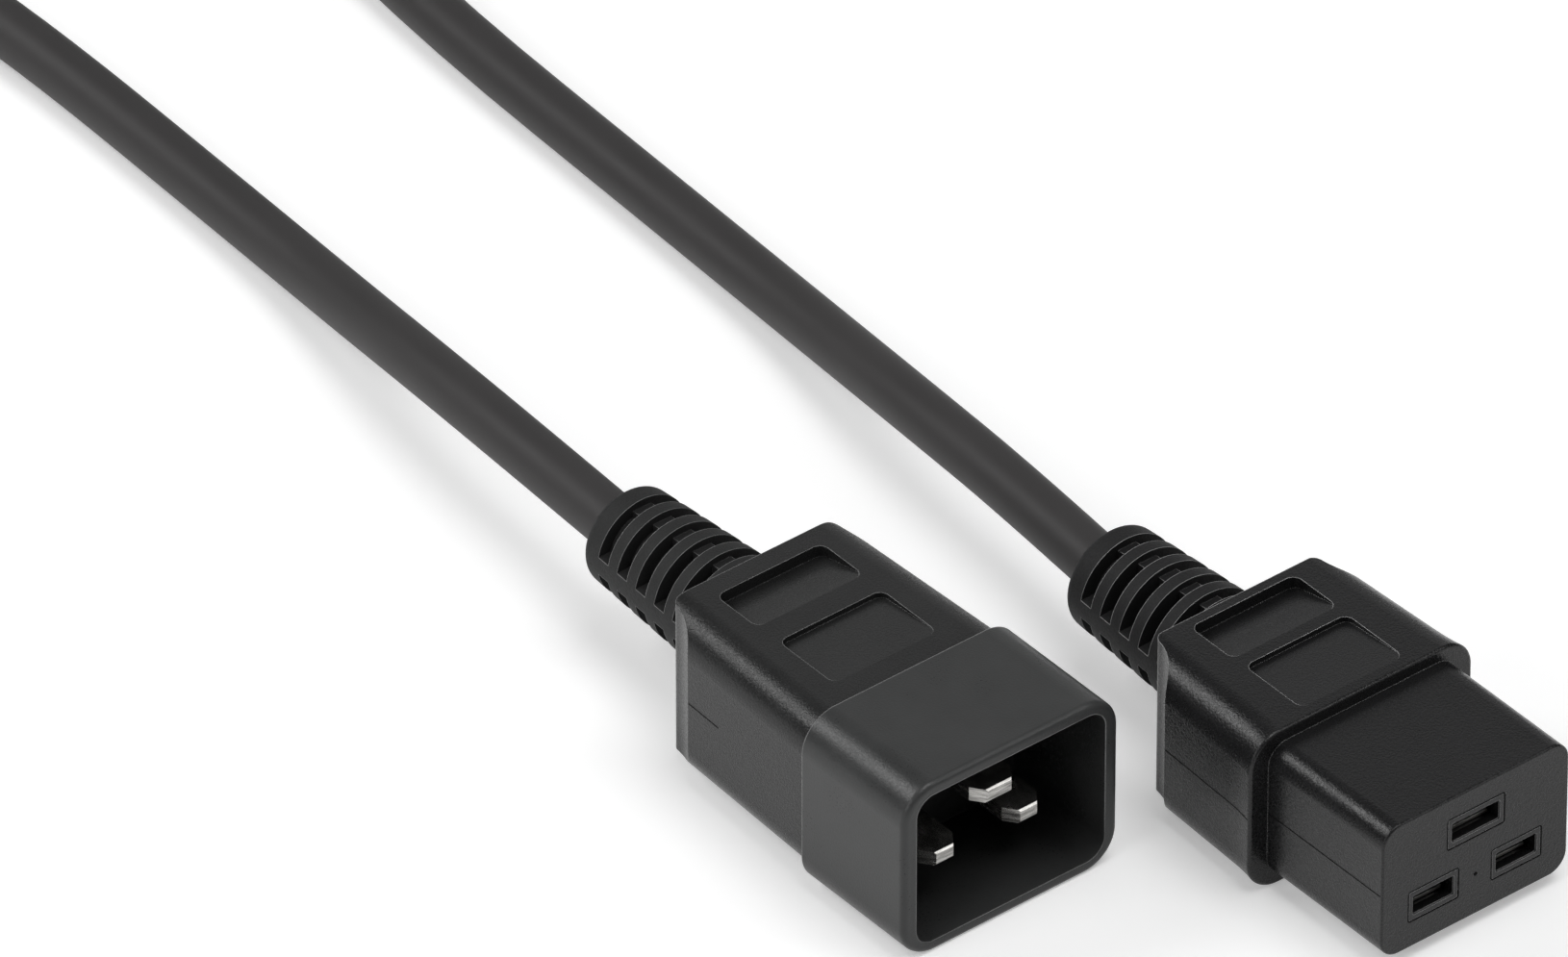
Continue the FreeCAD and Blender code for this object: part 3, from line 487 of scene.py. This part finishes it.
PLASTIC_CLOUD = 7.0                     # size of the slow changes of gloss and tint
GLOSS_DRIFT = 0.03                      # how far they change the roughness
GRAIN_GLOSS = 0.06                      # how far the grain changes it
RELIEF_DULL = 0.4                       # added to it on the strain reliefs
RELIEF_FADE = 0.5                       # either side of where they start
TINT_DRIFT = 0.1
TURNED = (0.985, 0.88)                  # cosine of the turn at which an edge's painted highlight starts, and is strongest
OPEN_SPAN = (0.55, 0.8)                 # openness at which it may: only convex edges get the painted highlight
HIGHLIGHT_IN_PITS = 0.7                        # least strength of the painted edge highlight, in the grain's pits
PLATEAU = (0.42, 0.58)                  # span of the noise between the grain's pits and flat tops


def moulded(name, colour, roughness, grain=0.3, depth=0.012, edge=0.17, hollow_shade=(0.35, 6.0), highlight_grey=0.6,
            ior=1.39, relief=None):
    """Moulded plastic: eroded grain, slow changes of gloss, painted highlights on edges, painted shade in
    hollows.

    The grain is that wide and deep, edges are rounded by edge and get a painted highlight, hollows narrower
    than hollow_shade[1] get painted shade down to hollow_shade[0] of the colour, and the finish is duller
    behind x = relief.
    """
    surface = Surface(name)
    place = surface.place()
    cloudy = surface.noise(place, PLASTIC_CLOUD, detail=3.0)
    fine = surface.noise(place, grain, detail=1.5, roughness=0.6)
    gloss = surface.combine(
        "ADD", surface.spread(cloudy, roughness - GLOSS_DRIFT, roughness + GLOSS_DRIFT),
        surface.spread(fine, -GRAIN_GLOSS, GRAIN_GLOSS),
    )
    if relief is not None:
        along = surface.add("SeparateXYZ", Vector=place).outputs["X"]
        border = ((relief + RELIEF_FADE) * MM, (relief - RELIEF_FADE) * MM)
        gloss = surface.combine("ADD", gloss, surface.spread(along, 0.0, RELIEF_DULL, border))

    # Painted shade: the colour darkens towards its darkest share in hollows, recesses and cavities
    darkest, reach = hollow_shade
    hollow = surface.add("AmbientOcclusion", Distance=reach * MM)
    hollow.samples = HOLLOW_SAMPLES
    openness = hollow.outputs["AO"]
    tinted = surface.tint(surface.spread(cloudy, 0.0, 1.0), colour, 1.0 - TINT_DRIFT, 1.0 + TINT_DRIFT)
    shaded = surface.mix(openness, dimmed(colour, darkest), tinted)

    # Painted highlight: convex edges pale towards a light grey, broken up by the grain
    rounded = surface.soft_edge(edge)
    flat = surface.add("NewGeometry").outputs["Normal"]
    turned = surface.combine("DOT_PRODUCT", rounded, flat, kind="VectorMath")
    edge_highlight = surface.combine(
        "MULTIPLY", surface.spread(turned, 0.0, 1.0, TURNED), surface.spread(openness, 0.0, 1.0, OPEN_SPAN),
    )
    edge_highlight = surface.combine("MULTIPLY", edge_highlight, surface.spread(fine, HIGHLIGHT_IN_PITS, 1.0))
    surface.look(
        IOR=ior, Roughness=gloss,
        Base_Color=surface.mix(edge_highlight, shaded, dimmed(WHITE[:3], highlight_grey)),
        Normal=surface.bump(surface.spread(fine, 0.0, 1.0, PLATEAU), depth, Normal=rounded),
    )
    return surface.material


THREAD_WIDE = 0.4
THREAD_DEEP = 0.1
THREAD_SHADES = (0.6, 1.5)              # of the colour


def woven(name, colour):
    """Nylon hook-and-loop tape: dull, fuzzy, with threads of slightly different greys."""
    surface = Surface(name)
    threads = surface.noise(surface.place(), THREAD_WIDE, detail=3.0)
    surface.look(
        Roughness=0.85, Sheen_Weight=0.25,
        Base_Color=surface.tint(surface.spread(threads, 0.0, 1.0), colour, *THREAD_SHADES),
        Normal=surface.bump(threads, THREAD_DEEP),
    )
    return surface.material


SHEATH_CLOUD = 12.0
SHEATH_GRAIN = 0.35
SHEATH_DEEP = 0.004
SHEATH_SHADES = (0.95, 1.05)


def sheath(name, colour, roughness, specular=0.5):
    """Extruded cord sheath: nearly smooth, with a faint uneven gloss."""
    surface = Surface(name)
    place = surface.place()
    cloudy = surface.noise(place, SHEATH_CLOUD)
    surface.look(
        IOR=1.42, Specular_IOR_Level=specular,
        Roughness=surface.spread(cloudy, roughness - GLOSS_DRIFT, roughness + GLOSS_DRIFT),
        Base_Color=surface.tint(surface.spread(cloudy, 0.0, 1.0), colour, *SHEATH_SHADES),
        Normal=surface.bump(surface.noise(place, SHEATH_GRAIN), SHEATH_DEEP),
    )
    return surface.material


STREAK_WIDE = 0.35
STREAK_DEEP = 0.004
STREAK_SQUEEZE = (0.08, 0.12, 1.0)      # scales of the noise, so that its features run along X and Y
STREAK_SPAN = (0.38, 0.62)
STREAK_SHADES = (0.45, 1.0)
STREAK_GLOSS = (-0.06, 0.1)
METAL_EDGE = 0.1


def drawn_metal(name, colour, roughness):
    """Plated metal with fine draw marks along X, and the streaks of shearing on its cut ends."""
    surface = Surface(name)
    along = surface.add("Mapping", Scale=STREAK_SQUEEZE, Vector=surface.place())
    streaks = surface.noise(along.outputs["Vector"], STREAK_WIDE, detail=4.0, roughness=0.6)
    surface.look(
        Metallic=0.9,
        Roughness=surface.spread(streaks, roughness + STREAK_GLOSS[0], roughness + STREAK_GLOSS[1]),
        Base_Color=surface.tint(surface.spread(streaks, 0.0, 1.0, STREAK_SPAN), colour, *STREAK_SHADES),
        Normal=surface.bump(streaks, STREAK_DEEP, Normal=surface.soft_edge(METAL_EDGE)),
    )
    return surface.material


def give(material, *names):
    """Puts a material on CAD nodes."""
    for name in names:
        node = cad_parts[name]
        node.data.materials.clear()
        node.data.materials.append(material)


POLES = ("earth", "line", "neutral")
CORE_COLOURS = {"earth": (0.16, 0.32, 0.05), "line": (0.16, 0.07, 0.03), "neutral": (0.05, 0.14, 0.4)}

# Each moulded part gets painted highlights on its edges and painted shade in its hollows
give(moulded("overmoulding", (0.0115, 0.0115, 0.012), 0.28, relief=-11.4), "c19_housing")
give(moulded("plug_overmoulding", (0.022, 0.0223, 0.0223), 0.27, grain=0.28, depth=0.011, highlight_grey=0.4,
             ior=1.34, relief=-52.6),
     "c20_housing")
# The shroud's deep cavity gets stronger painted shade
give(moulded("shroud", (0.0405, 0.0415, 0.0415), 0.34, grain=0.28, depth=0.005, edge=0.3,
             hollow_shade=(0.2, 14.0), highlight_grey=0.3),
     "c20_shroud")
give(moulded("contact_carrier", (0.0125, 0.0125, 0.013), 0.32, depth=0.003), "c19_contact_carrier")
give(drawn_metal("nickel", (0.5, 0.49, 0.47), 0.2), *[f"c20_pin_{pole}" for pole in POLES])
give(drawn_metal("tinned_sheet", (0.66, 0.65, 0.62), 0.35), *[f"c19_contact_{pole}" for pole in POLES])
give(drawn_metal("copper", (0.72, 0.38, 0.24), 0.4),
     *[f"{end}_strand_{pole}" for end in ("c19", "c20") for pole in POLES])
for pole, colour in CORE_COLOURS.items():
    give(sheath("core_" + pole, colour, 0.4), f"c19_core_{pole}", f"c20_core_{pole}")
cord_sheath = sheath("sheath", (0.036, 0.034, 0.034), 0.55)
give(cord_sheath, "c19_sheath_end", "c20_sheath_end")
cord.data.materials.append(cord_sheath)
tape = woven("strap", (0.018, 0.018, 0.019))
for strap in (strap_near, strap_far):
    strap.data.materials.append(tape)
# Painted shade: the seams, the joints round the towers and the gate mark are near black and barely glossy,
# standing in for the shade in a groove
groove_shade = sheath("painted_groove_shade", (0.004, 0.004, 0.004), 0.7, specular=0.1)
for mark in marks:
    mark.data.materials.append(groove_shade)

# ----------------------------------------------------------------------------- floor and light

FLOOR_HALF = 9.0
FLOOR_GREY = 0.86
FLOOR_LIFT = 0.33                       # brings the plain floor to white where no shadow falls
ROOM_BRIGHT = 0.8                       # at the horizon
ROOM_DIM = 0.06                         # overhead
ROOM_FADE = (-0.02, 0.14)               # height at which the room dims, as the sine of its angle
LIT_POINT = Vector((0.0, -0.02, 0.01))  # between the connectors
LAMPS = {                               # direction, distance, width, height, watts
    "left_box": ((-0.617, -0.44, 0.652), 1.2, 0.5, 0.5, 4.6),
    "back_box": ((-0.72, 0.56, 0.45), 1.3, 0.9, 0.7, 0.98),
    "top_box": ((0.22, 0.1, 0.97), 1.5, 0.9, 0.9, 11.0),
    "front_box": ((0.0, -0.86, 0.5), 1.5, 0.8, 0.8, 5.0),
    "edge_box": ((0.608, 0.501, 0.618), 1.2, 0.4, 0.4, 1.6),
}


def seen_directly(surface):
    """1 for rays from the camera and for mirror-like or clear surfaces, 0 for soft light."""
    path = surface.add("LightPath").outputs
    mirrored = surface.combine("MAXIMUM", path["Is Camera Ray"], path["Is Glossy Ray"])
    return surface.combine("MAXIMUM", mirrored, path["Is Transmission Ray"])


def make_floor():
    """Plain white floor that keeps the object's shadow."""
    mesh = bpy.data.meshes.new("floor")
    corners = [(x * FLOOR_HALF, y * FLOOR_HALF, 0.0) for x, y in ((-1, -1), (1, -1), (1, 1), (-1, 1))]
    mesh.from_pydata(corners, [], [(0, 1, 2, 3)])
    surface = Surface("floor")
    lift = surface.combine("MULTIPLY", seen_directly(surface), FLOOR_LIFT)
    surface.look(
        Base_Color=dimmed(WHITE[:3], FLOOR_GREY), Roughness=0.9, Specular_IOR_Level=0.0,
        Emission_Color=WHITE, Emission_Strength=lift,
    )
    mesh.materials.append(surface.material)
    show("floor", mesh)


def make_lamp(name, toward, distance, wide, high, watts):
    """Soft box that hangs in the direction toward from the connectors and faces them."""
    data = bpy.data.lights.new(name, "AREA")
    data.shape = "RECTANGLE"
    data.size, data.size_y = wide, high
    data.energy = watts
    lamp = show(name, data)
    course = Vector(toward).normalized()
    lamp.location = LIT_POINT + course * distance
    face_along(lamp, course)


def make_world():
    """Studio room: white round the horizon, dim overhead."""
    world = bpy.data.worlds.new("studio")
    bpy.context.scene.world = world
    world.use_nodes = True
    nodes, links = world.node_tree.nodes, world.node_tree.links
    split = nodes.new("ShaderNodeSeparateXYZ")
    links.new(nodes.new("ShaderNodeTexCoord").outputs["Generated"], split.inputs["Vector"])
    fade = nodes.new("ShaderNodeMapRange")
    fade.interpolation_type = "SMOOTHSTEP"
    limits = {"From Min": ROOM_FADE[0], "From Max": ROOM_FADE[1], "To Min": ROOM_BRIGHT, "To Max": ROOM_DIM}
    for name, value in limits.items():
        fade.inputs[name].default_value = value
    links.new(split.outputs["Z"], fade.inputs["Value"])
    links.new(fade.outputs["Result"], nodes["Background"].inputs["Strength"])
    nodes["Background"].inputs["Color"].default_value = WHITE


make_floor()
make_world()
for name, settings in LAMPS.items():
    make_lamp(name, *settings)
bpy.context.scene.view_settings.view_transform = "Standard"
